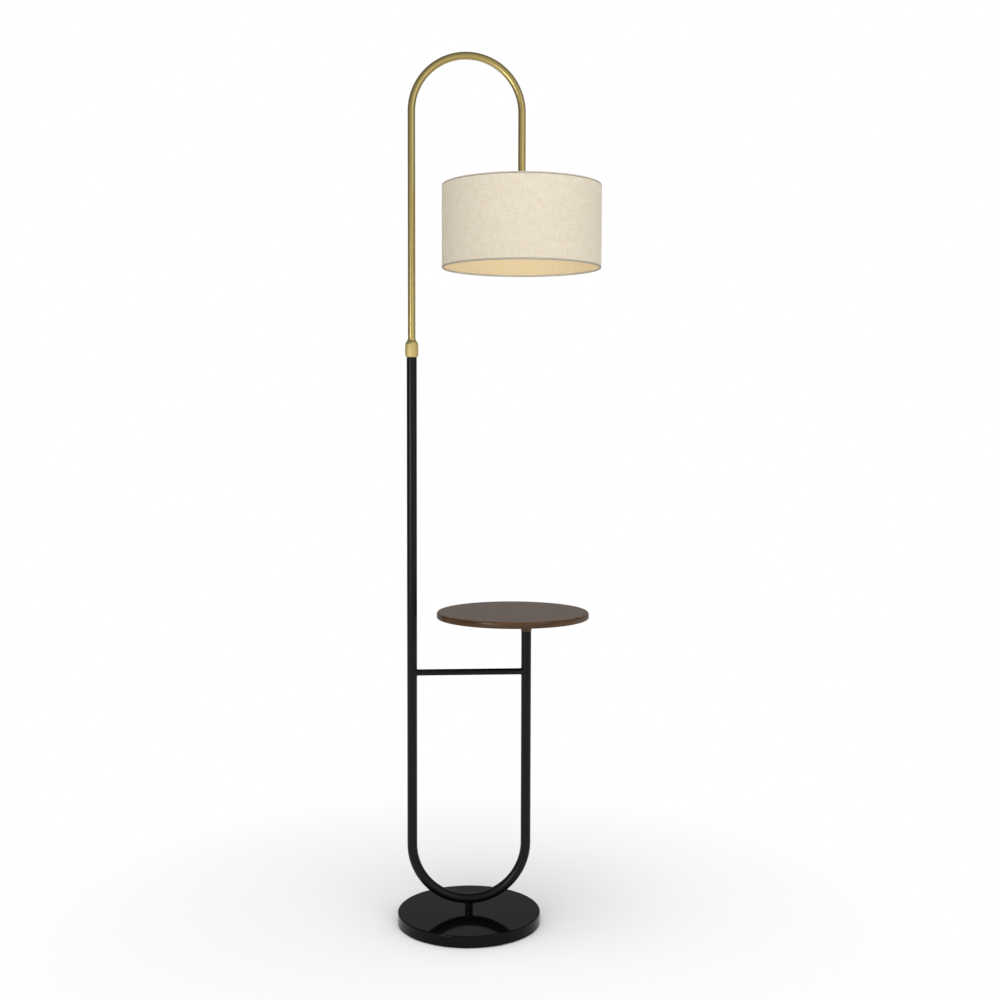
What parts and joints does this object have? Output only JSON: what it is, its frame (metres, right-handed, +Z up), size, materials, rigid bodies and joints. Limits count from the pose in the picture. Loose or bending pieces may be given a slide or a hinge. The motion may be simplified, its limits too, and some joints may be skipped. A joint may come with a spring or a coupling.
{
  "type": "floor lamp with table",
  "caption": "Floor lamp on a bent tube frame with a round side table on its short leg and a swivelling brass arch that holds a linen drum shade",
  "frame": {"origin": "centre of the base's underside, on the floor", "axes": "+Z up, +X from the pole to the table leg and the shade, +Y to the back, where the cord inlet is"},
  "size_m": [0.3845, 0.3, 1.6499],
  "materials": {
    "black_gloss_lacquer": "gloss black lacquer on spun steel",
    "black_powder_coat": "satin black powder coat on steel",
    "cast_iron": "as cast, primed",
    "felt": "pressed felt",
    "zinc_steel": "zinc plated",
    "satin_brass": "satin, lacquered",
    "brushed_brass_collar": "fine turned, lacquered",
    "holder_brass": "satin, lacquered",
    "black_thermoset": "moulded phenolic",
    "nylon": "natural nylon",
    "walnut_top": "dark walnut, satin varnish",
    "walnut_boss": "turned walnut, satin varnish",
    "steatite": "unglazed steatite",
    "nickel": "nickel plated",
    "opal_glass": "opal, etched",
    "black_glass": "vitrite",
    "white_wire": "white powder coat",
    "linen": "natural slub linen",
    "hem_tape": "self-bound rolled edge",
    "lining": "cream styrene lining",
    "lead_sheath": "soft vinyl sheath"
  },
  "bodies": {
    "base": {"base_cover": "black_gloss_lacquer", "base_weight": "cast_iron", "base_pad": "felt", "base_pipe": "zinc_steel", "base_washer": "zinc_steel", "base_nut": "zinc_steel", "cord_inlet": "black_thermoset", "neck_post": "black_powder_coat", "frame_tube": "black_powder_coat", "cross_bar": "black_powder_coat", "pole_plug": "black_powder_coat", "pole_stop_pin": "zinc_steel", "lower_lead": "lead_sheath", "leg_plug": "zinc_steel", "table_stud": "zinc_steel", "table_boss": "walnut_boss", "table_plate": "black_powder_coat", "table_nut": "zinc_steel", "table_screws": "zinc_steel", "table_top": "walnut_top"},
    "arch": {"collar": "brushed_brass_collar", "arch_stop_pin": "zinc_steel", "swivel_spindle": "zinc_steel", "swivel_washer": "nylon", "swivel_spring": "zinc_steel", "swivel_nut": "zinc_steel", "arch_tube": "satin_brass", "arch_end_plug": "satin_brass", "upper_lead": "lead_sheath", "holder_pipe": "zinc_steel", "holder_cap": "holder_brass", "holder_shell": "holder_brass", "holder_core": "steatite", "screw_shell": "nickel", "holder_contact": "nickel", "shade_ring_nut": "black_thermoset", "switch_block": "black_thermoset", "bulb_glass": "opal_glass", "bulb_cap": "nickel", "bulb_insulator": "black_glass", "bulb_tip": "nickel", "shade_fitter": "white_wire", "shade_top_wire": "white_wire", "shade_bottom_wire": "white_wire", "shade_top_hem": "hem_tape", "shade_bottom_hem": "hem_tape", "shade_liner": "lining", "shade_fabric": "linen"},
    "switch": {"switch_spindle": "zinc_steel", "switch_knob": "black_thermoset"}
  },
  "joints": [
    {"name": "arch_swivel", "type": "hinge", "parent": "base", "child": "arch", "pos_m": [-0.109, 0, 1.0835], "axis": [0, 0, 1], "range_deg": [-164, 164]},
    {"name": "switch_turn", "type": "hinge", "parent": "arch", "child": "switch", "pos_m": [0.0975, 0, 1.386], "axis": [0, -1, 0], "continuous": true}
  ]
}
